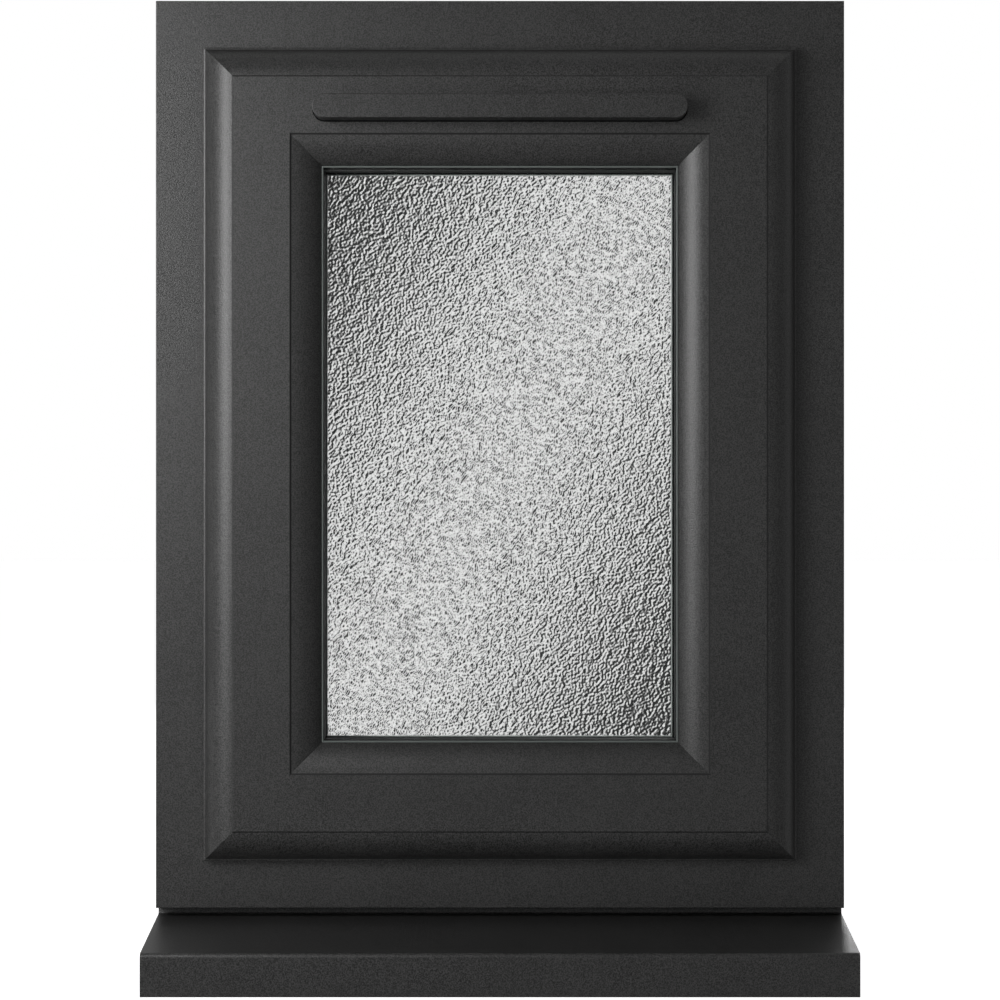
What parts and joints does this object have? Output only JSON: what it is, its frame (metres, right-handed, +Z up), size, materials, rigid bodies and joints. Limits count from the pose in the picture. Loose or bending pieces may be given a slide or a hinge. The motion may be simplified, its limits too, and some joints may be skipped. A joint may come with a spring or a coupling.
{
  "type": "top-hung window",
  "caption": "Top-hung casement window in grey plastic profile with a projecting cill, moulded sash, patterned double glazing and a trickle vent.",
  "frame": {"origin": "middle of the bed under the cill, in the plane of the frame's outside face", "axes": "+X along the width, to the right seen from outside; +Y from outside into the room; +Z up"},
  "size_m": [0.44, 0.159, 0.6228],
  "materials": {
    "grey_profile": "fine grained foil",
    "vent_plastic": "satin",
    "black_seal": "matte",
    "patterned_glass": "pebbled",
    "clear_glass": "polished",
    "spacer_metal": "black coated",
    "handle_metal": "satin black",
    "lock_metal": "satin",
    "hardware_steel": "plain",
    "packer_plastic": "plain"
  },
  "bodies": {
    "root": {"cill": "grey_profile", "cill_end_cap_left": "grey_profile", "cill_end_cap_right": "grey_profile", "espagnolette": "hardware_steel", "espagnolette_keeps": "hardware_steel", "frame_bottom_rail": "grey_profile", "frame_head": "grey_profile", "frame_left_jamb": "grey_profile", "frame_rebate_seal": "black_seal", "frame_right_jamb": "grey_profile", "friction_stay_left": "hardware_steel", "friction_stay_right": "hardware_steel", "glass_edge_sealant": "black_seal", "glass_inner_pane": "patterned_glass", "glass_outer_pane": "clear_glass", "glass_spacer_bar": "spacer_metal", "glazing_bead_bottom": "grey_profile", "glazing_bead_left": "grey_profile", "glazing_bead_right": "grey_profile", "glazing_bead_top": "grey_profile", "glazing_packers": "packer_plastic", "handle_lever": "handle_metal", "handle_lock": "lock_metal", "handle_plate": "handle_metal", "inner_glazing_gasket": "black_seal", "outer_glazing_gasket": "black_seal", "room_vent_body": "vent_plastic", "room_vent_shutter": "vent_plastic", "sash_bottom_rail": "grey_profile", "sash_left_stile": "grey_profile", "sash_lip_seal": "black_seal", "sash_right_stile": "grey_profile", "sash_top_rail": "grey_profile", "vent_hood": "vent_plastic"}
  },
  "joints": []
}
